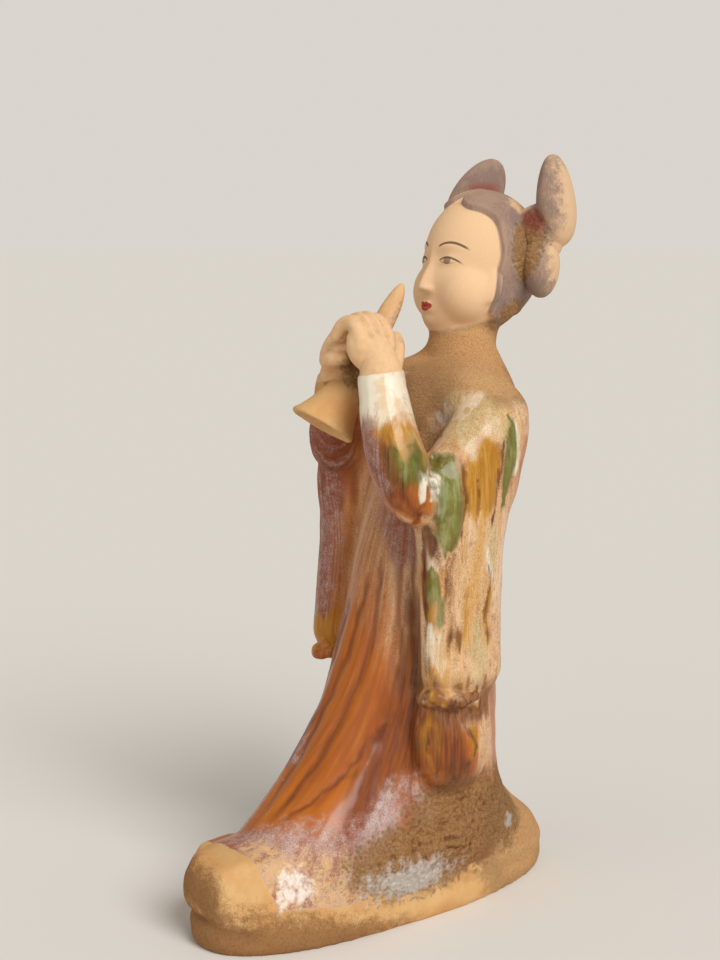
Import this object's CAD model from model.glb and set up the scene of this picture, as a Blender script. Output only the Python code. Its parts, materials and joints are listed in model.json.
import json
from math import cos, pi, radians, sin

import bmesh
import bpy
import numpy as np
from mathutils import Euler, Matrix, Vector

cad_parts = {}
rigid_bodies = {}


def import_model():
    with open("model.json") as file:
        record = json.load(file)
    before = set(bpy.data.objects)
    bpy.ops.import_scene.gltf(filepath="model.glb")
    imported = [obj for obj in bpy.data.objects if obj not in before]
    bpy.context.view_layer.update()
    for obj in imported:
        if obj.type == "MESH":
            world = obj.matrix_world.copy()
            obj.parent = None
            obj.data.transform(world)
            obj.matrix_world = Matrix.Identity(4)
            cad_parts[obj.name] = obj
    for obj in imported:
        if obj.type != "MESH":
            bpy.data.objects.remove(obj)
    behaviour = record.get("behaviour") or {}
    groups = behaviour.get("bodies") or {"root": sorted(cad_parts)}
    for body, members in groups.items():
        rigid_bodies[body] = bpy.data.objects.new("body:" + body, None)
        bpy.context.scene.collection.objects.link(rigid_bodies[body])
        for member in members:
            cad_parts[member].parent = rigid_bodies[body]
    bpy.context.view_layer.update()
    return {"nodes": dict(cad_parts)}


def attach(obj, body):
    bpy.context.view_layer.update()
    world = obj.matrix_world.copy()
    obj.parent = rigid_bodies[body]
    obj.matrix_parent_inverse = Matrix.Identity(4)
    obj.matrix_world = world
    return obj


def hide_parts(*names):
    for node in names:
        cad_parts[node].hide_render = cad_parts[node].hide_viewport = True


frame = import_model()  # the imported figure, in metres
scene = bpy.context.scene

# The figure is shaped in millimetres in its own frame: she faces -Y, her left hand is on +X and
# the ground is at 0. Her head has a frame of its own, level and looking along -Y.

studio = {
    "cameraAt": (0.6894, -0.5885, 0.360),
    "cameraLooks": (-0.7584, 0.6364, -0.1409),
    "lens": 64.5,
    "floorRadius": 40.0,
    "floorColour": "#E8E4DD",
    "skyColour": "#ECE7DF",
    "skyLight": 0.42,
    "skyShown": 0.83,
    # name: azimuth, elevation, strength and width of the source in degrees
    "suns": {
        "keySun": (82, 40, 2.3, 34),
        "fillSun": (5, 25, 0.35, 60),
    },
}

clay = {
    # voxels in millimetres, and rounds of smoothing
    "softVoxel": 1.6,
    "softRounds": 12,
    "shoulderRounds": 45,
    "fineVoxel": 0.8,
    "fineRounds": 3,
    "faceRounds": 30,
    "webRounds": 60,
    "neckRounds": 40,
    "mostTriangles": 198000,
}

head = {
    "centre": (0, 76, 342),
    "turn": (-8, 0, -9),
    "hairThick": 2.2,
    "browZ": 7,
    "eyeX": 11.5,
    "eyeZ": 0.5,
    "noseZ": -16,
    "mouthZ": -24.5,
    "chinZ": -34,
}


def colour(text):
    # A web colour as the linear values that the shader takes
    values = [int(text[i : i + 2], 16) / 255 for i in (1, 3, 5)]
    return (*[v / 12.92 if v <= 0.04045 else ((v + 0.055) / 1.055) ** 2.4 for v in values], 1)


def step(values, low, high):
    # 0 below low, 1 above high and a smooth rise between
    t = np.clip((values - low) / (high - low), 0, 1)
    return t * t * (3 - 2 * t)


def band(values, low, high, fall, end):
    # Rises from low to high and falls again from fall to end
    return step(values, low, high) * (1 - step(values, fall, end))


def bump(values, middle, width):
    return np.exp(-(((values - middle) / width) ** 2))


def unit(direction):
    return np.array(direction) / np.linalg.norm(direction)


def turned(angles):
    return Euler([radians(v) for v in angles]).to_matrix()


def added(name, data):
    # A new object in the scene
    thing = bpy.data.objects.new(name, data)
    scene.collection.objects.link(thing)
    return thing


def newMaterial(name):
    material = bpy.data.materials.new(name)
    material.use_nodes = True
    return material, material.node_tree.nodes["Principled BSDF"]


# Shader helpers

def operator(kind, swapped=False):
    # What one operator does to a Wire, swapped where the Wire stands second
    def apply(wire, other=0):
        first, second = (other, wire) if swapped else (wire, other)
        return wire.bench.node("Math", {"operation": kind}, {0: first, 1: second})

    return apply


class Wire:
    # A socket that adds a Math node wherever it stands in a sum
    def __init__(self, bench, socket):
        self.bench = bench
        self.socket = socket

    __add__ = __radd__ = operator("ADD")
    __sub__ = operator("SUBTRACT")
    __rsub__ = operator("SUBTRACT", swapped=True)
    __mul__ = __rmul__ = operator("MULTIPLY")
    __pow__ = operator("POWER")
    __abs__ = operator("ABSOLUTE")


class Bench:
    # Adds nodes to one node tree
    def __init__(self, tree):
        self.tree = tree

    def node(self, kind, settings, sockets, output=0):
        made = self.tree.nodes.new("ShaderNode" + kind)
        for name, value in settings.items():
            setattr(made, name, value)
        for name, value in sockets.items():
            self.join(value, made.inputs[name])
        return Wire(self, made.outputs[output])

    def join(self, value, socket):
        if isinstance(value, Wire):
            self.tree.links.new(value.socket, socket)
        else:
            socket.default_value = value

    def field(self, name):
        return self.node("Attribute", {"attribute_name": name}, {}, "Fac")

    def rise(self, value, low, high):
        settings = {"interpolation_type": "SMOOTHSTEP"}
        return self.node("MapRange", settings, {0: value, 1: low, 2: high})

    def coats(self, under, *layers):
        # Lays colours, or tints by name, over one another, each by its own share
        for share, over in layers:
            under, over = [colour(tints[v]) if isinstance(v, str) else v for v in (under, over)]
            under = self.node("Mix", {"data_type": "RGBA"}, {0: share, 6: under, 7: over}, 2)
        return under

    def stretched(self, vector, scale):
        return self.node("VectorMath", {"operation": "MULTIPLY"}, {0: vector, 1: scale})

    def noise(self, vector, scale, detail, rough):
        sockets = {"Vector": vector, "Scale": scale, "Detail": detail, "Roughness": rough}
        return self.node("TexNoise", {}, sockets)


# Studio

def makeStudio():
    camera = added("camera", bpy.data.cameras.new("camera"))
    camera.data.lens = studio["lens"]
    camera.location = studio["cameraAt"]
    camera.rotation_euler = Vector(studio["cameraLooks"]).to_track_quat("-Z", "Y").to_euler()
    scene.camera = camera
    scene.view_settings.view_transform = "Standard"

    for name, (azimuth, elevation, strength, width) in studio["suns"].items():
        sun = added(name, bpy.data.lights.new(name, "SUN"))
        sun.data.energy = strength
        sun.data.angle = radians(width)
        a, e = radians(azimuth), radians(elevation)
        back = Vector((sin(a) * cos(e), -cos(a) * cos(e), sin(e)))
        sun.rotation_euler = back.to_track_quat("Z", "Y").to_euler()

    # the sky looks as bright as the floor but lights the figure less
    sky = bpy.data.worlds.new("sky")
    sky.use_nodes = True
    bench = Bench(sky.node_tree)
    seen = bench.node("LightPath", {}, {}, "Is Camera Ray")
    background = sky.node_tree.nodes["Background"]
    background.inputs["Color"].default_value = colour(studio["skyColour"])
    strength = studio["skyLight"] + seen * (studio["skyShown"] - studio["skyLight"])
    bench.join(strength, background.inputs["Strength"])
    scene.world = sky

    bm = bmesh.new()
    bmesh.ops.create_circle(bm, cap_ends=True, segments=96, radius=studio["floorRadius"])
    mesh = bpy.data.meshes.new("studioFloor")
    bm.to_mesh(mesh)
    bm.free()
    paper, shader = newMaterial("studioPaper")
    shader.inputs["Base Color"].default_value = colour(studio["floorColour"])
    shader.inputs["Roughness"].default_value = 0.9
    shader.inputs["Specular IOR Level"].default_value = 0
    mesh.materials.append(paper)
    floor = added("studioFloor", mesh)


# Mesh helpers

def smoothLine(points, count):
    # Points spread along a smooth line through the given ones
    p = np.array(points, float)
    p = np.vstack([2 * p[0] - p[1], p, 2 * p[-1] - p[-2]])
    t = np.linspace(0, len(points) - 1, count)
    i = np.minimum(t.astype(int), len(points) - 2)
    f = (t - i)[:, None]
    a, b, c, d = p[i], p[i + 1], p[i + 2], p[i + 3]
    return b + 0.5 * f * (c - a + f * (2 * a - 5 * b + 4 * c - d + f * (3 * (b - c) + d - a)))


def placed(at, radii=(1, 1, 1), turn=(0, 0, 0)):
    return Matrix.Translation(at) @ turned(turn).to_4x4() @ Matrix.Diagonal((*radii, 1))


def egg(bm, at, radii, turn=(0, 0, 0), detail=4):
    bmesh.ops.create_icosphere(bm, subdivisions=detail, radius=1, matrix=placed(at, radii, turn))


def eggOn(bm, side, at, radii, turn, taper=0):
    # An egg on her left, or mirrored to her right, that may narrow towards its top
    lump = bmesh.new()
    egg(lump, (0, 0, 0), (1, 1, 1))
    for v in lump.verts:
        v.co.xy *= 1 - taper * v.co.z
    place = placed((at[0] * side, at[1], at[2]), radii, (turn[0], turn[1] * side, turn[2] * side))
    bmesh.ops.transform(lump, matrix=place, verts=lump.verts)
    addTool(bm, lump)


def strand(bm, points, steps=6):
    # A round tube with ball ends along a smooth line of (x, y, z, radius)
    line = bpy.data.curves.new("strand", "CURVE")
    line.dimensions = "3D"
    line.bevel_depth = 1
    line.bevel_resolution = 6
    spline = line.splines.new("POLY")
    places = smoothLine(points, steps * (len(points) - 1) + 1)
    spline.points.add(len(places) - 1)
    for point, (x, y, z, r) in zip(spline.points, places):
        point.co = (x, y, z, 1)
        point.radius = r
    line.use_fill_caps = True
    tube = added("strand", line)
    addMesh(bm, bpy.data.meshes.new_from_object(tube))
    bpy.data.objects.remove(tube)
    bpy.data.curves.remove(line)
    for x, y, z, r in (points[0], points[-1]):
        egg(bm, (x, y, z), (r, r, r), detail=3)


def addMesh(bm, mesh):
    bm.from_mesh(mesh)
    bpy.data.meshes.remove(mesh)


def addTool(bm, tool):
    # Joins a small bmesh to a large one
    mesh = bpy.data.meshes.new("tool")
    tool.to_mesh(mesh)
    tool.free()
    addMesh(bm, mesh)


def finished(mesh, kind, settings):
    # The mesh as one modifier leaves it
    rough = added("rough", mesh)
    modifier = rough.modifiers.new("finish", kind)
    for name, value in settings.items():
        setattr(modifier, name, value)
    shaped = rough.evaluated_get(bpy.context.evaluated_depsgraph_get())
    made = bpy.data.meshes.new_from_object(shaped)
    bpy.data.objects.remove(rough)
    return made


def remeshed(bm, voxel):
    # One closed skin over everything in bm
    mesh = bpy.data.meshes.new("rough")
    bm.to_mesh(mesh)
    bm.free()
    return finished(mesh, "REMESH", {"mode": "VOXEL", "voxel_size": voxel})


def rowsOf(items, name, width, kind=float):
    # One property of a mesh's points or edges, a row for each
    values = np.empty(len(items) * width, kind)
    items.foreach_get(name, values)
    return values.reshape(-1, width)


def pointsOf(mesh):
    return rowsOf(mesh.vertices, "co", 3)


def normalsOf(mesh):
    return rowsOf(mesh.vertex_normals, "vector", 3, np.float32)


def edgesOf(mesh):
    return rowsOf(mesh.edges, "vertices", 2, np.int32)


def movedTo(mesh, points):
    mesh.vertices.foreach_set("co", points.astype(np.float32).ravel())
    mesh.update()


def relaxed(points, edges, rounds, weight):
    # Moves each point part of the way to the middle of its neighbours, again and again
    a, b = edges.T
    n = len(points)
    weight = np.reshape(weight, (-1, 1))
    count = np.maximum(np.bincount(edges.ravel(), minlength=n), 1)[:, None]
    for _ in range(rounds):
        total = np.stack(
            [np.bincount(a, points[b, k], n) + np.bincount(b, points[a, k], n) for k in range(3)], 1
        )
        points = points + weight * (total / count - points)
    return points


def lumps(points, size, seed):
    # Smooth random values from 0 to 1 that change over lumps of about that size
    grid = np.random.default_rng(seed).random((32, 32, 32))
    q = points / size
    cell = np.floor(q).astype(int)
    f = q - cell
    f = f * f * (3 - 2 * f)
    total = np.zeros(len(points))
    for corner in np.ndindex(2, 2, 2):
        i = (cell + corner) % 32
        share = np.prod(np.where(corner, f, 1 - f), axis=1)
        total += share * grid[i[:, 0], i[:, 1], i[:, 2]]
    return total


def inHead(points):
    # The same points in the head's own frame
    return (points - head["centre"]) @ np.array(turned(head["turn"]))


def spots(points, places):
    # Highest of several soft spots: 1 in the middle of one, 0 at its rim and below 0 outside
    field = np.full(len(points), -1.0)
    for at, size in places:
        field = np.maximum(field, 1 - np.linalg.norm((points - at) / size, axis=1))
    return field


def strokes(points, lines, shares=(1, 1, 1)):
    # The same for strokes along lines of (x, y, z, radius)
    field = np.full(len(points), -1.0)
    shares = np.array(shares)
    q = points * shares
    for line in lines:
        for start, end in zip(line, line[1:]):
            a, b = np.array(start[:3]) * shares, np.array(end[:3]) * shares
            t = np.clip((q - a) @ (b - a) / ((b - a) @ (b - a)), 0, 1)
            distance = np.linalg.norm(q - a - t[:, None] * (b - a), axis=1)
            field = np.maximum(field, 1 - distance / (start[3] + t * (end[3] - start[3])))
    return field


# Body, sleeves and foot slab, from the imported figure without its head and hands

body = {
    # height of each cut, the height that its faces start from and the stretch of Y they lie in
    "headCut": (303, 290, (33, 200)),
    "handsCut": (285, 268, (-200, 26)),
    # middle, radii and turn of what fills out the shoulders and the breast
    "shoulder": ((20, 44, 277), (26, 20, 17.5), (0, 14, 0)),
    "breast": ((0, 36, 272), (24, 18, 22), (-30, 0, 0)),
}


def cutAway(bm, height, above, reach):
    middles = {f: f.calc_center_median() for f in bm.faces}
    chosen = [f for f, c in middles.items() if c.z > above and reach[0] < c.y < reach[1]]
    around = dict.fromkeys(e for f in chosen for e in f.edges)
    corners = dict.fromkeys(v for f in chosen for v in f.verts)
    plane = {"plane_co": (0, 0, height), "plane_no": (0, 0, 1), "clear_outer": True}
    cut = bmesh.ops.bisect_plane(bm, geom=[*corners, *around, *chosen], dist=1e-4, **plane)
    rim = [e for e in cut["geom_cut"] if isinstance(e, bmesh.types.BMEdge)]
    bmesh.ops.holes_fill(bm, edges=rim, sides=0)


def softBody():
    bm = bmesh.new()
    bm.from_mesh(frame["nodes"]["attendant_figure"].data)
    bmesh.ops.scale(bm, vec=(1000, 1000, 1000), verts=bm.verts)
    bmesh.ops.remove_doubles(bm, verts=bm.verts, dist=0.002)
    cutAway(bm, *body["headCut"])
    cutAway(bm, *body["handsCut"])
    for side in (1, -1):
        eggOn(bm, side, *body["shoulder"])
    egg(bm, *body["breast"])
    mesh = remeshed(bm, clay["softVoxel"])
    points, edges = pointsOf(mesh), edgesOf(mesh)
    free = step(points[:, 2], 1.5, 9)
    points = relaxed(points, edges, clay["softRounds"], 0.6 * free)
    x, y, z = points.T
    shoulder = step(np.abs(x), 10, 20) * step(y, -4, 6) * band(z, 222, 240, 296, 304)
    points = relaxed(points, edges, clay["shoulderRounds"], 0.6 * shoulder)
    movedTo(mesh, points)
    print("soft body:", len(points), "points")
    return mesh


# Shoe and its toe, a bevelled block with eight sides

shoe = {
    "centre": (-4, -86, 33),
    "radii": (33, 31),
    "height": 27,
    "topShare": 0.8,
    "edge": 5,
    "planes": [
        ((0.87, -0.5, 0.35), (13, -108, 41)),
        ((0.15, -0.97, 0.12), (2, -115, 36)),
        ((0.05, -0.3, 0.95), (-6, -100, 48)),
        ((-0.87, -0.5, 0.35), (-34, -104, 40)),
    ],
}


def addShoe(bm):
    tool = bmesh.new()
    sizes = {"radius1": 1, "radius2": shoe["topShare"], "depth": 1}
    turn = placed((0, 0, 0), turn=(0, 0, 22.5))
    bmesh.ops.create_cone(tool, cap_ends=True, segments=8, matrix=turn, **sizes)
    place = placed(shoe["centre"], (*shoe["radii"], shoe["height"]), (3, 0, 0))
    bmesh.ops.transform(tool, matrix=place, verts=tool.verts)
    kind = {"offset_type": "OFFSET", "affect": "EDGES", "segments": 4, "profile": 0.5, "material": -1}
    bmesh.ops.bevel(tool, geom=tool.edges, offset=shoe["edge"], **kind)
    addTool(bm, tool)


# Arms, hands and horn

arms = {
    # (x, y, z, radius) from the sleeve to the cuff
    "near": [
        (46, 0, 231, 13), (45, -7, 227, 15.2), (41, -14, 236, 15.4), (36.5, -18.5, 251, 14.6),
        (30.5, -19, 270, 13.3), (24.5, -16, 287, 11.6), (22.5, -15, 292, 10.8),
    ],
    "far": [(-46, 20, 241, 14.4), (-42, 7, 246, 13.7), (-31, -2, 265, 12.7), (-19, -8, 286, 11)],
}

hands = {
    "fingerRadius": 4.2,
    "nearGap": 5.2,
    "nearDrops": (1.2, 0, 0.4, 1.6),
    "farGap": 4.6,
    "farDrop": 5,
    "nearWrist": [(22, -13, 288, 10.4), (19.5, -14.5, 296, 10.2), (16, -16, 303, 9.4)],
    "nearThumb": [(16, -3, 290, 5.6), (14, 2, 296, 5), (11.5, 6, 302, 4.1), (8.5, 7.5, 306.5, 3.6)],
    "farWrist": [(-20, -7, 284, 10.4), (-18, -9, 292, 9.6), (-15, -9, 300, 9)],
    # middle, radii and turn
    "nearPalm": ((13.5, -16, 303), (8.6, 12.6, 13.5), (8, -18, 0)),
    "farPalm": ((-14, -11, 302), (9, 9.5, 16), (-40, 8, 0)),
    "farHeel": ((-16, -11, 296), (9, 11.5, 10)),
}

cuffs = {
    # middle of the cuff's edge, the way the arm points and how far round it the step reaches
    "near": ((23, -15, 290), (-0.15, -0.05, 1), 17),
    "far": ((-20, -7, 284), (0.4, -0.2, 1), 15),
}

horn = {
    "tip": (0, 20, 335),
    "aim": (-13, -42, -70),
    "length": 87,
    "bell": 17.6,
    "lean": (-0.64, -0.77, 0),
    "bend": 8,
}


def addHands(bm):
    radius = hands["fingerRadius"]
    strand(bm, hands["nearWrist"])
    egg(bm, *hands["nearPalm"])
    for i, low in enumerate(hands["nearDrops"]):
        y = -7 - hands["nearGap"] * i
        strand(bm, [
            (18.5 - 0.6 * i, y - 0.5, 303, radius + 0.6), (16 - 0.5 * i, y, 311.5 - low, radius + 0.4),
            (9.5, y + 0.5, 317 - low, radius), (2, y, 316 - low, radius - 0.4),
            (-3.5, y - 1, 310 - low, radius - 0.8),
        ])
    strand(bm, hands["nearThumb"])

    strand(bm, hands["farWrist"])
    egg(bm, *hands["farPalm"])
    egg(bm, *hands["farHeel"])
    for i in range(4):
        y, z = -1 - hands["farGap"] * i, 311.5 - hands["farDrop"] * i
        strand(bm, [
            (-19, y + 1, z - 3, radius), (-14.5, y - 6, z - 1.5, radius),
            (-7, y - 8, z - 0.5, radius - 0.2), (-0.5, y - 5, z, radius - 0.6),
        ])


def addHorn(bm):
    length, bell = horn["length"], horn["bell"]
    outline = [
        (0.2, 0), (1.9, 2), (3.9, 8), (5.4, 18), (5.6, 30), (5.4, 0.56 * length), (7.0, 0.7 * length),
        (9.8, 0.82 * length), (13.8, 0.93 * length), (bell, length - 1), (bell, length + 1),
        (bell - 2.2, length + 0.8), (0.5 * bell, length - 3.4), (0.1, length - 4.4),
    ]
    tool = bmesh.new()
    verts = [tool.verts.new((max(r, 0), 0, along)) for r, along in smoothLine(outline, 60)]
    edges = [tool.edges.new(pair) for pair in zip(verts, verts[1:])]
    lathe = {"cent": (0, 0, 0), "axis": (0, 0, 1), "angle": 2 * pi, "use_merge": True}
    bmesh.ops.spin(tool, geom=verts + edges, steps=64, **lathe)
    bmesh.ops.remove_doubles(tool, verts=tool.verts, dist=0.3)
    bmesh.ops.recalc_face_normals(tool, faces=tool.faces)
    aim = Vector(horn["aim"]).to_track_quat("Z", "Y").to_matrix().to_4x4()
    place = Matrix.Translation(horn["tip"]) @ aim
    lean = Vector(horn["lean"]) * horn["bend"]
    for v in tool.verts:
        share = v.co.z / length
        v.co = place @ v.co + lean * (share * share - share)
    addTool(bm, tool)


# Rolled hems of the sleeves

hems = {
    # side: first and last angle, radius, how far out of the sleeve's wall and height
    1: (-150, 6, 5.2, -1.6, 121),
    -1: (-180, 180, 3.0, -2.6, 127),
}


def aroundSleeve(side, angle, out, z):
    # A point on the rim of a sleeve: angle 0 is its outer face and -90 its front
    a = radians(angle)
    x = 47 + (12 + out) * cos(a)
    y = 26 + (24 + out) * sin(a) - (10 if side < 0 else 0)
    turn = radians(-8)
    x, y = x * side, y - 24
    return x * cos(turn) - y * sin(turn), 24 + x * sin(turn) + y * cos(turn), z


def addHems(bm):
    for side, (first, last, radius, out, z) in hems.items():
        count = round((last - first) / 12)
        rim = []
        for i in range(count + 1):
            angle = first + (last - first) * i / count
            wave = sin(radians(5 * angle)) + 0.6 * sin(radians(11 * angle + 40))
            fade = 1 if side < 0 else min(1, 0.45 + 0.2 * (count - i))
            place = aroundSleeve(side, angle, out, z + 0.8 * wave)
            rim.append((*place, fade * (radius + 0.3 * wave)))
        strand(bm, rim, 3)


# Head and hair

skull = {
    # middle, radii and turn in the head's frame; cheek and ear are on both sides
    "crown": ((0, 0.5, 5.5), (28.6, 33, 35.3)),
    "jaw": ((0, -6, -12), (27, 27.5, 27.5)),
    "chin": ((0, -17.5, -23), (17, 14.5, 17)),
    "cheek": ((11, -15, -15), (16.5, 16.5, 18), (0, 0, 0)),
    "ear": ((27.2, -9.2, -11), (2.4, 3.2, 9.5), (-6, 0, 10)),
}

# (x, y, z, radius) up the neck
throat = [(0, 62, 296, 19.6), (0, 64, 304, 18.6), (0, 67, 312, 17.6), (0, 70, 320, 17.4)]

buns = {
    # side, place in the head's frame, radii, turn and taper of each lump
    "nearUpper": (1, (31.5, 22.5, 40), (7.5, 12.5, 23), (8, -9, 28), 0.22),
    "nearLink": (1, (30, 22, 18), (6, 6.5, 8), (0, 0, 20), 0),
    "nearLower": (1, (30.5, 19, 3.5), (7, 9.5, 14.5), (4, -4, 15), -0.1),
    "nearWeb": (1, (26, 17, 24), (12, 8, 12), (0, -30, 20), 0),
    "farUpper": (-1, (32, 14.5, 41.5), (8, 12, 22), (-22, -4, 28), 0.15),
    "farLink": (-1, (29, 14, 16), (7, 7, 9), (0, 0, 20), 0),
    "farLower": (-1, (29.5, 12, 3), (8, 10, 15), (4, 0, 15), -0.1),
    "farWeb": (-1, (23, 10, 26), (7, 9, 12), (0, 20, 0), 0),
}


def addHead(bm):
    tool = bmesh.new()
    for name in ("crown", "jaw", "chin"):
        egg(tool, *skull[name])
    for side in (1, -1):
        eggOn(tool, side, *skull["cheek"])
        eggOn(tool, side, *skull["ear"])
    for side, at, radii, turn, taper in buns.values():
        eggOn(tool, side, at, radii, turn, taper)
    bmesh.ops.transform(tool, matrix=placed(head["centre"], turn=head["turn"]), verts=tool.verts)
    addTool(bm, tool)
    strand(bm, throat)


# Finer shapes, pushed along the skin

def hairEdge(h):
    # Millimetres inside the edge of the hair, and negative on bare skin
    x, y, z = np.abs(h[:, 0]), h[:, 1], h[:, 2]
    side = y + 8.5 - 1.5 * bump(z, 6, 8)
    top = z - 32.5 + 0.014 * x * x - 8 * bump(x, 0, 2.6) + 1.5 * bump(x, 11, 5)
    edge = 2.5 * np.logaddexp(side / 2.5, top / 2.5)
    nape = z + 23 + 8 * bump(y, 1, 7)
    return np.minimum(edge, nape)


features = {
    # how far each stands out, its middle and half width across, then the level it belongs to, how
    # far above that it is, its half height and how it curves
    "nostril": (1.9, 3.7, 1.9, "noseZ", 0.6, 1.9, 0),
    "socket": (-1.3, 7.5, 5, "browZ", -5, 3.6, 0),
    "eye": (1.6, head["eyeX"], 5.4, "eyeZ", 0, 2.9, 0),
    "brow": (0.5, 12, 8, "browZ", 1.5, 1.8, -0.04),
    "mouth": (1.0, 0, 7, "mouthZ", 0, 5.5, 0),
    "lipGroove": (-0.5, 0, 1.1, "mouthZ", 4.4, 1.6, 0),
    "upperLip": (1.1, 1.9, 2.3, "mouthZ", 1.2, 1.0, 0),
    "lowerLip": (1.3, 0, 2.9, "mouthZ", -1.6, 1.1, 0),
    "betweenLips": (-0.9, 0, 4, "mouthZ", -0.1, 0.6, 0.03),
    "chinGroove": (-0.7, 0, 5, "mouthZ", -4.4, 1.5, 0),
    "chin": (1.8, 0, 6, "chinZ", 0, 4.2, 0),
}


def face(h):
    # How far the features stand out of the plain head, along the way she looks
    x, z = np.abs(h[:, 0]), h[:, 2]
    brow, nose = head["browZ"], head["noseZ"]
    along = np.clip((brow - z) / (brow - nose), 0, 1)
    ridge = (0.4 + 5.0 * along**1.5) * band(z, nose - 3.2, nose + 0.8, brow - 2, brow + 6)
    out = ridge * bump(x, 0, 2.4 + 1.3 * along)
    for depth, middle, width, level, above, half, curve in features.values():
        out += depth * bump(x, middle, width) * bump(z, head[level] + above + curve * (x - middle) ** 2, half)
    return out * step(-h[:, 1], 8, 18)


def ridges(points, angleAt, width):
    # Strength of a long fold whose compass angle about (0, 35) changes with height
    x, y, z = points.T
    heights, angles = np.array(angleAt, float).T
    turn = np.degrees(np.arctan2(y - 35, x)) - np.interp(z, heights, angles)
    across = np.radians((turn + 180) % 360 - 180) * np.hypot(x, y - 35)
    low, high = heights[0], heights[-1]
    return band(z, low - 8, low + 14, high - 20, high + 4) * bump(across, 0, width)


folds = {
    # heights and compass angles from the hem up, width and depth
    "front": ([(57, -89), (76, -87), (104, -84), (123, -81), (150, -76), (200, -80)], 4.4, 1.2),
    "frontSide": ([(54, -88), (63, -84), (71, -79), (77, -76), (89, -70), (112, -66)], 3.4, 0.9),
    "side": ([(44, -67), (60, -64), (98, -61), (124, -52), (154, -59), (205, -62)], 4.6, 1.1),
    "bySleeve": ([(110, -45), (137, -46), (159, -47), (180, -49), (210, -50)], 2.6, 1.6),
    "farFront": ([(60, -94), (80, -97), (110, -98), (150, -93), (190, -90)], 4.2, 0.9),
    "farSide": ([(50, -112), (80, -116), (120, -116), (170, -112)], 4.0, 1.6),
    "backLeft": ([(45, 60), (90, 66), (140, 70), (200, 72)], 4.5, 1.5),
    "backRight": ([(45, 118), (90, 113), (140, 110), (205, 108)], 4.5, 1.6),
    "backMiddle": ([(30, 88), (80, 91), (130, 90), (180, 88)], 4.0, 1.2),
}

creases = {
    # a line of (x, y, z, half width) and its depth
    "elbow": ([(48, -1, 248, 4), (57, -9, 240, 4), (58, -12, 230, 4.5), (54, -15, 219, 5)], 2.6),
    "bag": ([(53, -2, 117, 2.2), (54, -1, 100, 2.2), (53, -1, 84, 2.6)], 1.2),
    "sleeveCrack": ([(61, 2, 195, 1.6), (61, 5, 172, 1.8), (60, 6, 145, 1.6)], 0.7),
    "sleeveLine": ([(60, -2, 190, 2.4), (60, 1, 160, 2.4), (58, 3, 148, 2)], 0.6),
}

hemRoll = [(46, -8, 119, 5), (54, -5, 119, 5), (58, 8, 119, 5), (58, 24, 119, 4.5)]

crusts = {
    # middle and radii of each patch of rough earth, and how thick it lies
    "foot": ((45, 24, 50), (26, 38, 27), 3.2),
    "footFront": ((44, -4, 36), (26, 46, 19), 2.8),
    "footBack": ((34, 56, 48), (22, 20, 22), 1.6),
    "elbowGap": ((27, 13, 254), (12, 14, 12), 0.7),
    "bunFront": ((31, 81, 352), (9, 9, 16), 1.0),
    "bunFoot": ((32, 92, 364), (9, 10, 11), 1.0),
    "nape": ((22, 78, 318), (9, 12, 8), 0.8),
    "farBun": ((-26, 92, 352), (10, 9, 22), 1.0),
    "handGap": ((2, -6, 292), (12, 16, 12), 0.7),
}

unevenness = {
    # size and height of the clay's own lumps, and a seed
    "broad": (30, 0.8, 4),
    "small": (9, 0.5, 6),
}


def fingerGaps():
    # Lines on the skin between the fingers of each hand
    lines = []
    for i in range(3):
        y = -9.6 - hands["nearGap"] * i
        lines.append([(22.5, y, 303, 2.4), (19.5, y, 314, 2.4), (9.5, y, 321, 2.4), (0, y, 319, 2.4)])
        y, z = -3.3 - hands["farGap"] * i, 309 - hands["farDrop"] * i
        lines.append([(-22, y, z - 4, 2.2), (-17, y - 8, z - 3, 2.2), (-8, y - 11, z - 2, 2.2)])
    return lines


def flattened(points):
    # Planes off the toe of the shoe, each facing (x, y, z) and through a point
    out = points.copy()
    for facing, through in shoe["planes"]:
        facing = unit(facing)
        over = (out - through) @ facing
        toe = (1 - step(out[:, 1], -84, -76)) * step(out[:, 2], 17, 23)
        out -= (toe * shoe["edge"] * 0.3 * np.logaddexp(0, over / shoe["edge"] / 0.3))[:, None] * facing
    return out


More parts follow.
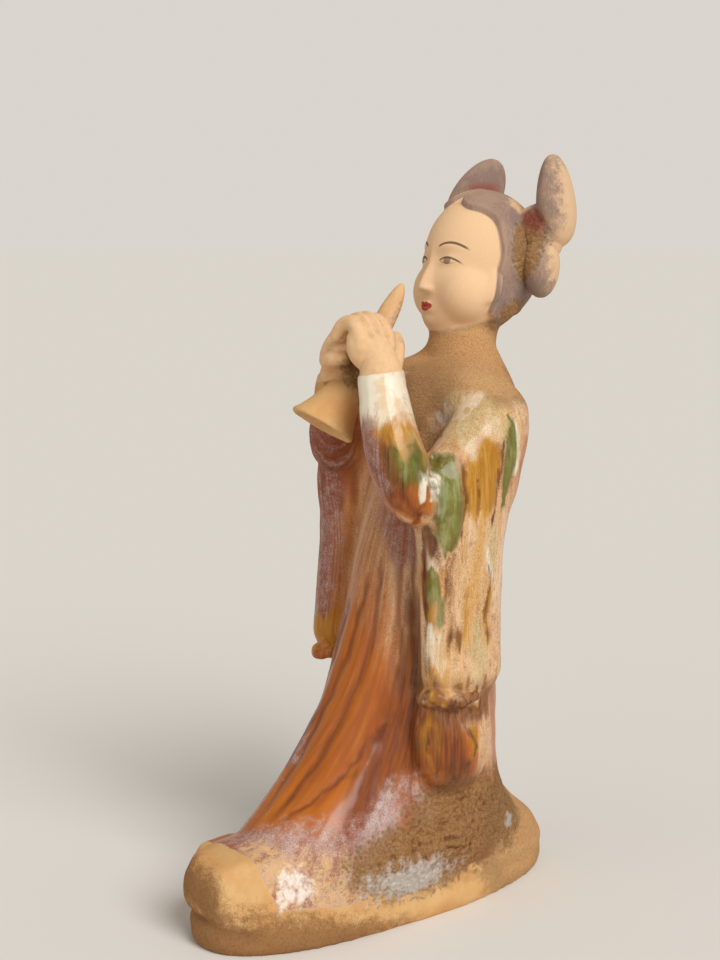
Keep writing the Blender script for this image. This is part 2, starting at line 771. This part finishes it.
def carve(mesh):
    movedTo(mesh, flattened(pointsOf(mesh)))
    points, normals = pointsOf(mesh), normalsOf(mesh)
    x, y, z = points.T
    h = inHead(points)
    onHead = step(h[:, 2], -44, -38) * step(y, 33, 36)
    push = np.zeros(len(points))

    skirt = 1 - step(z, 225, 250)
    for angleAt, width, depth in folds.values():
        push -= skirt * depth * ridges(points, angleAt, width)
    for line, depth in creases.values():
        push -= depth * step(strokes(points, [line]), 0, 1)

    # hair as a raised layer with a rolled edge
    inside = hairEdge(h)
    push += onHead * (head["hairThick"] * step(inside, -0.3, 1.6) + 0.7 * bump(inside, 3, 2.5))

    for line in fingerGaps():
        push -= 1.3 * step(strokes(points, [line]), 0, 1)

    # wrists step down from the cuffs
    for at, aim, reach in cuffs.values():
        along = (points - at) @ unit(aim)
        near = 1 - step(np.linalg.norm(points - at, axis=1), reach, reach + 3)
        push += near * 0.8 * band(along, -14, -3, -0.5, 0.6)

    # rough earth
    clods = 0.6 * lumps(points, 9, 1) + 0.4 * abs(2 * lumps(points, 5, 2) - 1) + 0.4 * lumps(points, 2.4, 3)
    for at, size, thick in crusts.values():
        patch = step(spots(points, [(at, size)]) + 0.5 * (lumps(points, 8, 5) - 0.5), 0, 0.6)
        push += thick * patch * (1.6 * clods - 0.5)
    for size, height, seed in unevenness.values():
        push += (lumps(points, size, seed) - 0.5) * height * step(z, 6, 20) * (1 - onHead)
    push += (lumps(points, 7, 8) - 0.5) * 1.2 * band(z, 1, 5, 16, 24)
    push -= 2.2 * bump(z, 15.5, 2.6) * (1 - step(y, -104, -92)) * (1 - step(x, -2, 14))
    push += step(strokes(points, [hemRoll]), 0, 0.4) * (lumps(points, 2.6, 14) - 0.5) * 1.6
    ribs = (lumps(points * (1, 1, 0.1), 4, 7) - 0.5) * band(z, 60, 80, 255, 275)
    push += ribs * (0.12 + 0.4 * step(np.abs(x), 38, 46))

    push *= step(z, 0.4, 3)
    points = points + normals * push[:, None]
    ahead = np.array(turned(head["turn"])) @ (0, -1, 0)
    points += (onHead * (1 - step(inside, -3, 0)) * face(h))[:, None] * ahead
    movedTo(mesh, points)


# Paint and dirt, as values from point to point that the glaze's shader reads

sidePours = {
    # lines of (x, y, z, half width) where each glaze runs; these may lie off the skin along X
    "film": [
        [(60, 20, 240, 22), (60, 20, 200, 24), (60, 20, 130, 24)], [(56, 36, 110, 12), (56, 38, 84, 12)],
        [(50, 40, 272, 20), (56, 30, 256, 16)],
    ],
    "wash": [
        [(60, 21, 160, 3), (60, 21, 146, 4), (60, 21, 132, 4)], [(62, 38, 262, 6), (63, 36, 244, 6)],
        [(60, 27, 214, 3), (60, 28, 190, 3)], [(60, 22, 157, 3), (60, 22, 144, 4), (60, 21, 134, 3)],
    ],
    "gold": [
        [(60, 10, 243, 3.6), (60, 11, 230, 4), (60, 10, 214, 3)],
        [(60, 16, 246, 5), (60, 18, 232, 7), (60, 15, 217, 4)],
        [(60, -5, 190, 4), (60, -6, 172, 4), (60, -5, 160, 2)], [(60, -3, 142, 3), (60, -3, 128, 4)],
        [(60, 23, 250, 6), (60, 25, 238, 6), (60, 22, 226, 5), (60, 20, 216, 2)],
        [(60, 2, 190, 1.6), (60, 2, 176, 1.8), (60, 0, 158, 1.4), (60, 2, 146, 1.6)],
        [(60, 27, 194, 1.4), (60, 28, 168, 1.6), (60, 28, 150, 1.2)],
        [(60, 12, 178, 1.6), (60, 13, 156, 1.6)], [(56, 21, 103, 2), (56, 21, 88, 2)],
        [(58, 4, 123, 2.6), (58, 24, 122, 2.6)],
    ],
    "straw": [
        [(60, 24, 222, 2), (60, 19, 208, 3.4), (60, 17, 192, 4), (60, 16, 168, 4), (60, 15, 146, 3)],
        [(60, 25, 196, 2), (60, 26, 172, 2.4), (60, 26, 152, 2)], [(60, 6, 160, 2), (60, 6, 138, 2.4)],
    ],
    "cream": [
        [(60, -6, 244, 4), (60, -6, 234, 4.6), (60, -6, 225, 3)],
        [(62, 42, 262, 2), (63, 43, 252, 3), (63, 42, 240, 2)],
        [(60, 26, 206, 1.6), (60, 26, 194, 2.2), (60, 27, 180, 1.4)],
        [(60, -5, 184, 1.2), (60, -5, 172, 1.8), (60, -4, 158, 1.2)],
    ],
    "green": [
        [(60, 1, 243, 5), (60, 0, 232, 7), (60, 0, 220, 8), (60, 0, 209, 6), (60, 1, 200, 2)],
        [(63, 40, 262, 2.6), (63, 39, 250, 3.6), (63, 37, 240, 4), (63, 35, 230, 2.4)],
        [(60, -5, 180, 2.6), (60, -5, 166, 3), (60, -4, 154, 2)], [(60, 34, 232, 1.4), (60, 33, 222, 1.6)],
    ],
    "rust": [
        [(62, 33, 256, 1.2), (62, 31, 242, 1.2), (60, 28, 228, 1.2), (60, 26, 216, 1)],
        [(60, 0, 196, 1.2), (60, 3, 180, 1.8), (60, 5, 160, 1.8), (60, 5, 142, 1.4)],
        [(60, 6, 178, 0.8), (60, 8, 160, 1), (60, 8, 146, 0.8)],
        [(60, 6, 244, 0.8), (60, 8, 224, 0.8), (60, 7, 206, 0.8)], [(60, 15, 232, 1.4), (60, 16, 214, 1.4)],
        [(56, 5, 112, 8), (56, 5, 90, 9), (56, 10, 80, 9)], [(58, -2, 117, 9), (58, 28, 117, 9)],
    ],
    # cracks are drawn wide here and only their middle is shown
    "crack": [
        [(60, 4, 200, 5), (60, 4, 178, 5), (60, 6, 159, 5), (60, 4, 143, 5)],
        [(60, 10, 244, 5), (60, 9, 222, 4)],
        [(62, 33, 254, 5), (62, 32, 236, 5), (60, 27, 219, 5), (60, 21, 210, 4)],
        [(60, 1, 190, 4), (60, 2, 163, 4)], [(60, -6, 187, 5), (60, -7, 159, 5), (60, -2, 145, 4)],
        [(60, 26, 196, 4), (60, 27, 160, 5), (60, 28, 134, 4)],
        [(58, -12, 117, 5), (58, 4, 115, 5), (58, 28, 117, 5)], [(56, -6, 110, 5), (56, -5, 90, 5)],
        [(56, 16, 106, 5), (56, 22, 92, 5), (56, 15, 81, 5)],
    ],
}

frontPours = {
    # the same for lines that may lie off the skin along Y
    "film": [
        [(40, 22, 264, 14), (30, 24, 278, 12)], [(34, -32, 268, 5), (40, -32, 250, 5), (48, -28, 236, 4)],
        [(50, -5, 210, 8), (50, -5, 180, 8), (50, -5, 130, 8)],
    ],
    "wash": [
        [(42, 26, 284, 7), (48, 26, 272, 8), (54, 26, 256, 6)], [(28, 28, 274, 6), (34, 28, 264, 6)],
        [(48, 28, 270, 6), (48, 26, 258, 7)], [(48, -26, 258, 6), (52, -24, 246, 7)],
    ],
    "gold": [
        [(36, -28, 274, 6), (40, -28, 264, 8), (43, -28, 256, 5)],
        [(46, -5, 204, 2), (46, -5, 186, 3), (47, -5, 170, 3), (48, -5, 160, 2)],
        [(54, -5, 148, 2), (54, -5, 138, 3), (53, -4, 126, 4)], [(50, -8, 114, 3.4), (50, -8, 88, 3)],
        [(-46, 0, 150, 7), (-47, 0, 138, 8)], [(-43, -2, 196, 1.8), (-44, -2, 160, 2.4)],
    ],
    "straw": [[(51, -5, 152, 3), (53, -5, 128, 4)]],
    "cream": [
        [(24, -20, 289, 14), (33, -24, 276, 12)], [(40, 28, 278, 4), (44, 28, 270, 4)],
        [(24, 28, 263, 3), (30, 28, 266, 3)], [(49, -5, 206, 2), (50, -5, 196, 2.4), (50, -5, 190, 1.4)],
        [(49, -5, 160, 1.6), (50, -5, 150, 2.8), (51, -5, 140, 3), (53, -4, 132, 1.4)],
        [(54, -14, 240, 1.6), (55, -15, 230, 2)], [(49, -8, 234, 1.6), (50, -8, 222, 1.8)],
        [(-51, 4, 216, 1.6), (-52, 4, 190, 2), (-51, 4, 164, 1.6)],
    ],
    "green": [
        [(47, -25, 250, 4), (50, -22, 242, 6), (51, -20, 236, 4)],
        [(50, -5, 192, 2), (51, -5, 184, 3), (50, -5, 174, 2)], [(53, -5, 176, 2.4), (54, -5, 164, 2)],
        [(-50, 0, 206, 2), (-50, 0, 192, 2)],
    ],
    "rust": [
        [(40, -30, 252, 5), (44, -28, 238, 6), (50, -24, 226, 5)], [(50, -5, 218, 2), (52, -5, 204, 1.8)],
        [(50, -8, 216, 2), (46, -6, 190, 1.2), (45, -6, 160, 1.2)],
        [(-38, -2, 252, 14), (-43, 0, 232, 12), (-46, 2, 212, 6)], [(-47, 2, 204, 1.8), (-48, 2, 160, 2)],
        [(-40, -4, 210, 2), (-41, -4, 150, 2.4)],
        [(28, -2, 176, 4), (32, -4, 140, 7), (37, -12, 112, 9), (41, -20, 90, 7), (42, -24, 78, 4)],
        [(53, -4, 114, 1.6), (53, -4, 82, 1.8)],
        [(29, -17, 104, 4), (33, -26, 80, 6), (36, -36, 60, 6), (37, -50, 46, 4)],
        [(39, -10, 116, 4), (41, -13, 98, 8), (45, -20, 84, 7)],
        [(-44, -2, 214, 3), (-45, -2, 178, 2), (-46, -2, 150, 3)], [(46, -8, 117, 2.4), (55, -4, 117, 2.6)],
        [(-18, -44, 86, 4), (-22, -26, 120, 4), (-26, -8, 160, 4)],
    ],
    "crack": [
        [(52, -5, 214, 5), (54, -5, 199, 5), (56, -5, 188, 4)],
        [(46, -8, 210, 5), (46, -6, 180, 4), (47, -6, 150, 4), (48, -6, 126, 5)],
        [(-42, 0, 214, 5), (-43, 0, 160, 5)], [(-50, 2, 208, 4), (-50, 2, 170, 4)],
    ],
}

dust = {
    # lines of (x, y, z, radius) where a mauve bloom dulls the glaze
    "hem": [(-4, -86, 48, 9), (16, -74, 42, 16), (32, -56, 38, 20), (42, -38, 46, 17), (46, -26, 66, 12)],
    "bySleeve": [(46, -26, 72, 10), (44, -20, 92, 4), (41, -10, 114, 3), (36, -6, 140, 3)],
    "byBag": [(47, -15, 76, 8), (49, -8, 64, 11)],
    "waist": [(8, 0, 236, 22), (12, 2, 216, 18), (18, 4, 196, 9)],
    "farSleeve": [(-50, 4, 222, 13), (-52, 4, 190, 13), (-52, 2, 158, 10)],
    "farElbow": [(-34, -4, 258, 11), (-42, 0, 244, 12)],
    "skirtLeft": [(-15, -46, 86, 5), (-18, -28, 118, 5), (-22, -8, 160, 8)],
    "forearmEdge": [(30, -31, 262, 7), (36, -32, 248, 6), (42, -30, 234, 4)],
    "back": [(0, 62, 250, 34), (0, 66, 200, 26), (0, 70, 150, 22)],
    "farBase": [(-40, -40, 60, 22), (-44, 10, 60, 26), (-34, 60, 60, 28)],
}

grime = {
    # lines of (x, y, z, radius) where the bare clay is stained
    "slab": [(-34, -108, 8, 17), (10, -112, 8, 17), (36, -84, 6, 14), (46, -50, 4, 9), (52, 0, 0, 5)],
    "toe": [(-24, -114, 34, 12), (2, -116, 30, 11), (8, -114, 20, 8)],
}

hemFilm = [(6, -90, 46, 8), (26, -86, 37, 14), (34, -70, 30, 17), (42, -44, 28, 14), (46, -10, 26, 12)]

marks = {
    # middles and radii of soft spots of each kind
    "sleevePatch": [((62, 9, 134), (14, 12, 11))],
    "tan": [
        ((4, 48, 296), (42, 34, 36)), ((36, 46, 288), (26, 24, 20)), ((16, 22, 264), (20, 20, 28)),
        ((40, 80, 36), (40, 40, 40)), ((-10, 96, 30), (60, 44, 34)),
    ],
    "shade": [((12, 22, 262), (20, 18, 30)), ((56, 2, 76), (10, 18, 9))],
    # clean glaze that shows through the earth of the chest
    "clear": [((33, 30, 270), (10, 10, 9)), ((24, 28, 262), (10, 9, 6)), ((47, 30, 268), (9, 8, 16))],
    "bun": [
        ((30, 104, 378), (16, 22, 34)), ((-34, 98, 378), (18, 28, 34)),
        ((30, 92, 340), (14, 17, 20)), ((-30, 92, 340), (16, 17, 20)),
    ],
    # where the black has gone from the hair
    "worn": [((42, 110, 376), (13, 20, 30)), ((43, 103, 348), (12, 16, 21)), ((20, 92, 376), (10, 12, 6))],
    "ribbon": [((31, 86, 366), (9, 5, 8)), ((-26, 101, 385), (12, 10, 5))],
    "chip": [((45, -14, 27), (12, 24, 9)), ((38, 62, 40), (8, 4, 4))],
}

paleChip = ((33, -80, 33), (8, 9, 9))
# lines of (x, y, z, radius)
hornTip = [(0, 20, 336, 7), (-4, 9, 316, 7.5)]
alongHorn = [(0, 20, 336, 9), (-6, 2, 306, 10), (-13, -22, 268, 22)]

hemLine = {
    # where the glaze ends above the foot slab, as heights along Y, and where the shoe begins
    "y": (-96, -83, -54, -34, 9, 56, 85, 120),
    "z": (28, 23, 20, 24, 24, 24, 22, 20),
    "shoeY": -90,
}


def fieldsOf(mesh):
    points, normals = pointsOf(mesh), normalsOf(mesh)
    x, y, z = points.T
    h = inHead(points)
    onHead = step(h[:, 2], -40, -36) * step(y, 33, 36)
    long = points * (1, 1, 0.3)
    wave = np.stack(
        [lumps(long, 5, seed) + 0.7 * lumps(long, 2.2, seed + 3) - 0.85 for seed in (11, 12, 13)], 1
    )
    fields = {name: spots(points, places) for name, places in marks.items()}
    shifted = points + wave * (4.5, 4.5, 15)
    for name, lines in sidePours.items():
        front = strokes(shifted, frontPours[name], (0.8, 0.35, 1))
        fields[name] = np.maximum(strokes(shifted, lines, (0.25, 1, 1)), front)
    fields["dust"], fields["grime"] = strokes(points, dust.values()), strokes(points, grime.values())
    fields["hemFilm"] = strokes(points + wave * 8, [hemFilm])
    fields["earth"] = spots(points, [(at, size) for at, size, _ in crusts.values()])
    small = spots(points + wave * 6, [paleChip])
    fields["chip"] = np.maximum(fields["chip"], np.minimum(small, 0.25))

    # dark streaks follow the folds of the skirt
    skirt = 1 - step(z, 215, 245)
    for angleAt, width, _ in folds.values():
        line = skirt * ridges(points + wave * 2.5, angleAt, 0.7 * width)
        fields["rust"] = np.maximum(fields["rust"], 1.05 * line - 0.75)

    # bare clay below the glaze, on the shoe, hands, horn and head
    below = (np.interp(y, hemLine["y"], hemLine["z"]) - z) / 8
    shoeTop = (hemLine["shoeY"] - y - 0.25 * (z - 30)) / 8
    at, aim, _ = cuffs["near"]
    hand = np.minimum((points - at) @ unit(aim), 27 - y) / 2
    far = np.minimum.reduce([z - 286, 27 - y, -2 - x]) / 2
    hornOnly = np.minimum(8 - x, x + 32 + 0.2 * (z - 260)) / 3
    hornOnly = np.minimum(4 * strokes(points, [alongHorn]), hornOnly)
    bare = np.maximum.reduce([below, shoeTop, hand, far, hornOnly, 2 * onHead - 1])
    fields["bare"] = np.clip(bare, -1, 1)

    # pale slip on hands and face, and black on the hair
    pale = np.clip(np.maximum(hand, far), -1, 0.1) - 0.15 * step(strokes(points, [hornTip]), 0, 0.3)
    pale = np.maximum(pale, np.minimum(fields.pop("sleevePatch"), -0.12))
    slip = np.minimum((6 - h[:, 1]) / 8, (h[:, 2] + 27 - 0.43 * h[:, 1]) / 6)
    fields["slip"] = np.where(onHead > 0.5, np.clip(slip, -1, 1), pale)
    fields["tan"] = np.where(onHead > 0.5, np.minimum(fields["tan"], -slip), fields["tan"])
    hair = np.maximum(hairEdge(h) / 2, 4 * fields.pop("bun"))
    fields["hair"] = np.where(onHead > 0.5, np.clip(hair, -1, 1), -1)

    smooth = relaxed(points, edgesOf(mesh), 14, 0.5)
    fields["hollow"] = np.clip(np.sum((smooth - points) * normals, axis=1) / 0.8, -1, 1)

    # the glaze flows down the sleeves, and round and down the skirt
    angle = np.arctan2(y - 35, x) + radians(12) * (1 - step(z, 50, 150))
    onSleeve = (step(np.abs(x), 38, 46) * step(z, 62, 76))[:, None]
    wrapped = np.stack([40 * np.cos(angle), 40 * np.sin(angle), z], 1)
    return fields, onSleeve * points + (1 - onSleeve) * wrapped


def writeFields(mesh):
    fields, flow = fieldsOf(mesh)
    for name, values in fields.items():
        attribute = mesh.attributes.new(name, "FLOAT", "POINT")
        attribute.data.foreach_set("value", values.astype(np.float32))
    attribute = mesh.attributes.new("flow", "FLOAT_VECTOR", "POINT")
    attribute.data.foreach_set("vector", flow.astype(np.float32).ravel())


# Glazed earthenware, with clay, earth, hair and ink in one shader

tints = {
    "clay": "#D6A268", "clayPale": "#DCB27A", "clayDark": "#9A6B3C", "slip": "#EFC79C",
    "amber": "#BC6816", "amberDeep": "#A4541A", "amberPale": "#C88026", "wash": "#AEAA6C",
    "film": "#DEAE76", "filmPale": "#EDCCA8", "filmDark": "#94602E", "hemFilm": "#C6AA90",
    "green": "#6A7220", "greenDeep": "#4A5212", "greenPale": "#B8BA86",
    "gold": "#AC7008", "goldPale": "#CC922C", "straw": "#D69E48", "cream": "#F2E6CE",
    "rust": "#84421C", "rustDeep": "#50261A", "mauve": "#935642", "lilac": "#CCB6B0",
    "earth": "#B07A48", "earthDark": "#7A5430", "earthPale": "#CA9E6C", "tan": "#E2B27C", "stain": "#966A42",
    "hair": "#AC8E7A", "hairDark": "#927A6E", "ribbon": "#A0433A",
    "chip": "#F2E8DE", "chipBlue": "#B6A8B6",
    "ink": "#54402F", "iris": "#7E6A5A", "lip": "#B2302A",
}

patterns = {
    # what each noise is laid on, its share of Z, scale, detail and roughness, in makeGlaze's order
    "drips": ("flow", 0.08, 0.16, 3, 0.6),
    "streaks": ("flow", 0.06, 0.55, 4, 0.6),
    "threads": ("flow", 0.05, 1.5, 3, 0.6),
    "combed": ("head", 0.12, 1.1, 2, 0.55),
    "patches": ("place", 1, 0.05, 4, 0.6),
    "blotches": ("place", 1, 0.22, 4, 0.65),
    "grains": ("place", 1, 1.3, 5, 0.75),
    "coarse": ("place", 1, 0.7, 8, 0.8),
}

rims = {
    # how far a pattern shifts the rim of each field, and half the width of the rim
    "film": (0.8, 0.5), "wash": (1.4, 0.8), "gold": (1.4, 0.6), "straw": (1.2, 0.8), "cream": (1.2, 0.5),
    "rust": (1.2, 0.6), "dust": (1.3, 0.5), "hemFilm": (1.2, 0.5), "bare": (0.4, 0.06), "grime": (1.6, 0.5),
    "tan": (0.8, 0.25), "clear": (1.2, 0.3), "earth": (1.0, 0.2), "shade": (1.6, 0.7), "chip": (4, 0.5),
    "slip": (0.5, 0.3), "hair": (0.3, 0.15), "worn": (1.0, 0.4), "ribbon": (0.9, 0.3),
}

inkLines = {
    # the level it belongs to, how far above that it is, its middle and curve across, its half
    # width, its inner and outer ends and its strength
    "brow": ("browZ", 3.2, 12.5, -0.045, 0.9, 4.5, 22, 1),
    "upperLid": ("eyeZ", 1.7, head["eyeX"], -0.055, 0.75, 5.2, 20, 1),
    "lowerLid": ("eyeZ", -1.5, head["eyeX"], 0.045, 0.45, 6, 17.5, 0.5),
}

gloss = {
    "dullRoughness": 0.82,
    "shineTakes": 0.56,
    "streaksGive": 0.25,
    "coat": 0.55,
    "coatRoughness": 0.18,
    "specular": 0.15,
}


def makeGlaze():
    material, shader = newMaterial("glazedEarthenware")
    bench = Bench(material.node_tree)
    rise, coats, field = bench.rise, bench.coats, bench.field

    # patterns in millimetres, on the object, along the flow and in the head's own frame
    metres = bench.node("TexCoord", {}, {}, "Object")
    place = bench.stretched(metres, (1000, 1000, 1000))
    flow = bench.node("Attribute", {"attribute_name": "flow"}, {}, "Vector")
    sockets = {"Vector": metres, "Location": [v / 1000 for v in head["centre"]]}
    sockets.update({"Rotation": [radians(v) for v in head["turn"]], "Scale": (0.001, 0.001, 0.001)})
    h = bench.node("Mapping", {"vector_type": "TEXTURE"}, sockets)
    spaces = {"flow": flow, "head": h, "place": place}
    drips, streaks, threads, combed, patches, blotches, grains, coarse = [
        bench.noise(bench.stretched(spaces[space], (1, 1, drawn)), *settings)
        for space, drawn, *settings in patterns.values()
    ]
    crumbs = bench.node("TexVoronoi", {}, {"Vector": place, "Scale": 0.42})
    up = bench.node("SeparateXYZ", {}, {0: place}, "Z")
    hollow = field("hollow")
    ragged = drips * 0.4 + streaks * 0.35 + blotches * 0.25
    fine = grains - 0.5
    speckled = blotches + fine

    def mask(name, pattern):
        spread, soft = rims[name]
        return rise(field(name) + (pattern - 0.5) * spread, -soft, soft)

    # bare clay
    grimeMask = mask("grime", speckled)
    skin = coats(
        "clay", (rise(patches, 0.35, 0.65), "clayPale"),
        (rise(grains, 0.56, 0.74) * 0.3, "clayDark"),
        (rise(hollow + fine * 0.5, 0.05, 0.6) * 0.7, "clayDark"),
        (grimeMask * 0.9, "stain"),
        (grimeMask * rise(coarse, 0.5, 0.42) * 0.5, "earthDark"),
    )

    # amber glaze and the other colours that run down over it
    filmMask = mask("film", ragged)
    film = coats(
        "film", (rise(drips + fine * 0.6, 0.36, 0.66), "filmPale"),
        (rise(streaks * 0.6 + blotches * 0.4, 0.48, 0.38) * 0.65, "filmDark"),
        (rise(threads + grains, 0.9, 0.74) * 0.3, "filmDark"),
    )
    goldMask = mask("gold", ragged)
    gold = coats("gold", (rise(drips * 0.5 + streaks * 0.5, 0.38, 0.66), "goldPale"))
    cream = coats("cream", (rise(patches, 0.45, 0.6) * 0.4, "goldPale"))
    greenField = field("green") + (ragged - 0.5) * 2.2
    greenMask = rise(greenField, -0.6, 0.4)
    green = coats(
        "greenDeep", (rise(greenField + drips - 0.5, 0, 0.7), "green"),
        (rise(drips + patches, 1.0, 1.2) * 0.4, "greenPale"),
    )
    rustMask = mask("rust", ragged)
    rust = coats("rustDeep", (rise(streaks, 0.36, 0.64), "rust"))
    crack = rise(field("crack") + (streaks - 0.5) * 0.6, 0.55, 0.9)
    dry = filmMask * rise(goldMask + greenMask + rustMask, 1, 0)
    glaze = coats(
        "amberDeep", (rise(drips, 0.36, 0.64), "amber"),
        (rise(streaks, 0.45, 0.8) * 0.5, "amberPale"),
        (filmMask * 0.9, film),
        (mask("wash", ragged) * 0.5, "wash"),
        (goldMask * 0.95, gold),
        (mask("straw", ragged) * 0.8, "straw"),
        (mask("cream", ragged), cream),
        (greenMask * 0.92, green),
        (rustMask * 0.8, rust),
        (crack * 0.75, "rustDeep"),
        (filmMask * rise(abs(streaks - 0.5), 0.03, 0) * 0.5, "filmDark"),
        (dry * rise(grains, 0.48, 0.62) * 0.6, "filmPale"),
        (dry * rise(coarse, 0.46, 0.34) * 0.4, "filmDark"),
    )

    # mauve bloom, lilac in places, and the dry film along the hem
    dustMask = mask("dust", drips + blotches - 0.5)
    bloomed = drips * 0.6 + blotches * 0.4 + fine * 0.7 + rise(up, 120, 70) * 0.1
    bloom = coats("mauve", (rise(bloomed, 0.4, 0.8), "lilac"))
    hemMask = mask("hemFilm", speckled)
    hemTone = coats(
        "hemFilm", (rise(blotches + grains, 0.85, 1.1), "tan"),
        (rise(ragged + (coarse - 0.5) * 0.5, 0.52, 0.4) * 0.8, "mauve"),
    )
    bareMask = mask("bare", blotches)
    glazeEdge = rise(bareMask, 0.05, 0.4) * rise(bareMask, 0.95, 0.6)

    # earth: a smooth tan skin and a rough dark crust
    clearMask = mask("clear", blotches)
    tanMask = mask("tan", speckled) * (1 - clearMask)
    tan = coats("tan", (rise(grains, 0.42, 0.7), "earth"), (rise(coarse, 0.47, 0.36) * 0.4, "earthDark"))
    earthMask = mask("earth", speckled) * (1 - clearMask)
    gaps = crumbs * 0.8 + hollow * 0.5 + fine * 1.4
    earth = coats(
        "earth", (rise(coarse, 0.4, 0.6), "earthPale"),
        (rise(gaps, 0.5, 0.95) * 0.7, "earthDark"),
        (rise(earthMask, 0.95, 0.4) * 0.7, "earthPale"),
    )
    shade = mask("shade", coarse * 0.6 + blotches * 0.4)
    shadeTone = coats("earthDark", (rise(coarse, 0.42, 0.56), "earth"))
    settled = rise(hollow + fine * 1.2, 0.25, 0.9) * rise(field("earth"), 0, -0.5)
    chip = coats("chipBlue", (rise(blotches * 0.4 + coarse * 0.6, 0.34, 0.44), "chip"))

    # pale slip, black hair and red ribbons
    slipMask = mask("slip", blotches)
    slip = coats("slip", (rise(grains, 0.5, 0.8) * 0.4, "clay"))
    hairMask = mask("hair", grains)
    worn = mask("worn", speckled) + rise(hollow, -0.3, -1.2) * 0.5
    hair = coats(
        "hairDark", (rise(combed * 0.3 + patches * 0.7, 0.4, 0.6), "hair"),
        (rise(worn, 0, 1) * 0.8, "slip"),
    )
    hairRim = rise(abs(field("hair") + 0.1), 0.35, 0.1) * (1 - earthMask)

    # the painted face
    hx, hy, hz = [bench.node("SeparateXYZ", {}, {0: h}, name) for name in "XYZ"]
    hx = abs(hx)
    front = rise(hy, -12, -20)
    ink = 0
    for level, above, middle, curve, half, inner, outer, strength in inkLines.values():
        away = abs(hz - (hx - middle) ** 2 * curve - (head[level] + above))
        ends = rise(hx, inner, inner + 1.5) * rise(hx, outer, outer - 4)
        ink = ink + rise(away, half, half * 0.5) * ends * front * strength
    eyeZ, mouth = head["eyeZ"], head["mouthZ"]
    reach = ((hx - head["eyeX"]) ** 2 + (hz - eyeZ - 0.1) ** 2) ** 0.5
    iris = rise(reach, 2.4, 1.9) * rise(hz, eyeZ + 1.9, eyeZ + 1.4) * front
    upper = rise(hz - mouth - 2.3 + hx**2 * 0.06 + rise(hx, 1.2, 0) * 0.7, 0.3, -0.2)
    lower = rise(hz - mouth + 2.8 - hx**2 * 0.09, -0.3, 0.2)
    lips = upper * lower * rise(hx, 5.4, 4.6) * front

    surface = coats(
        glaze, (dustMask * (0.82 + 0.15 * rise(grains, 0.4, 0.62)), bloom),
        (hemMask * 0.9, hemTone),
        (bareMask, skin),
        (glazeEdge * 0.6, "chipBlue"),
        (tanMask * 0.9, tan),
        (earthMask * 0.92, earth),
        (shade * (1 - clearMask) * 0.15, shadeTone),
        (settled * 0.4, "earthDark"),
        (mask("chip", blotches * 0.7 + streaks * 0.3) * 0.85, chip),
        (slipMask * (1 - earthMask), slip),
        (hairMask * (1 - earthMask * 0.9), hair),
        (hairRim * 0.5, "slip"),
        (mask("ribbon", blotches * 0.6 + grains * 0.4) * 0.7, "ribbon"),
        (iris * 0.8, "iris"),
        (rise(ink, 0, 1) * 0.85, "ink"),
        (lips * 0.9, "lip"),
    )

    # gloss and grain
    dull = bareMask + tanMask + earthMask + hemMask + dustMask * 0.6 + filmMask * 0.25 + rustMask * 0.4
    shine = 1 - rise(dull + settled + slipMask, 0, 1)
    rough = gloss["dullRoughness"] - shine * (gloss["shineTakes"] - gloss["streaksGive"] * streaks)
    height = grains * (0.12 + 0.16 * bareMask + 0.15 * filmMask)
    height = height + coarse * (earthMask * 2.4 + tanMask * 1.2 + shade) - crumbs * earthMask * 1.6
    height = height + combed * hairMask * 0.25 + streaks * shine * 0.12
    normal = bench.node("Bump", {}, {"Strength": 1.0, "Distance": 0.001, "Height": height})
    bench.join(surface, shader.inputs["Base Color"])
    bench.join(rough, shader.inputs["Roughness"])
    bench.join(shine * gloss["coat"], shader.inputs["Coat Weight"])
    bench.join(normal, shader.inputs["Normal"])
    shader.inputs["Coat Roughness"].default_value = gloss["coatRoughness"]
    shader.inputs["Specular IOR Level"].default_value = gloss["specular"]
    print("glaze mixed")
    return material


bunWebs = [((29, 92, 364), (13, 15, 15)), ((-24, 94, 364), (13, 15, 15))]


def joinForms():
    # Every form under one skin, with its joints smoothed
    bm = bmesh.new()
    addShoe(bm)
    for path in arms.values():
        strand(bm, path)
    addHands(bm)
    addHorn(bm)
    addHems(bm)
    addHead(bm)
    addMesh(bm, softBody())
    mesh = remeshed(bm, clay["fineVoxel"])
    points, edges = pointsOf(mesh), edgesOf(mesh)
    free = step(points[:, 2], 0.5, 4)
    points = relaxed(points, edges, clay["fineRounds"], 0.5 * free)
    h = inHead(points)
    behind = points[:, 1] > 30
    plump = step(h[:, 2], -46, -36) * behind * (1 - step(h[:, 1], -12, -6))
    points = relaxed(points, edges, clay["faceRounds"], 0.5 * plump)
    webs = step(spots(points, bunWebs), 0, 0.4)
    points = relaxed(points, edges, clay["webRounds"], 0.5 * webs)
    neck = band(points[:, 2], 286, 296, 303, 312) * behind
    points = relaxed(points, edges, clay["neckRounds"], 0.5 * neck)
    movedTo(mesh, points)
    print("forms joined:", len(points), "points")
    return mesh


def makeFigure():
    mesh = joinForms()
    carve(mesh)
    faces = sum(len(p.vertices) - 2 for p in mesh.polygons)
    mesh = finished(mesh, "DECIMATE", {"ratio": min(1, clay["mostTriangles"] / faces)})
    print("carved:", faces, "triangles, thinned to", len(mesh.polygons))
    writeFields(mesh)
    print("paint laid")
    mesh.shade_smooth()
    mesh.transform(Matrix.Scale(0.001, 4))
    mesh.materials.clear()
    mesh.materials.append(makeGlaze())
    return added("attendantFigure", mesh)


makeStudio()
print("studio made")
figure = makeFigure()
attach(figure, "root")
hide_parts("attendant_figure")

print("size written")
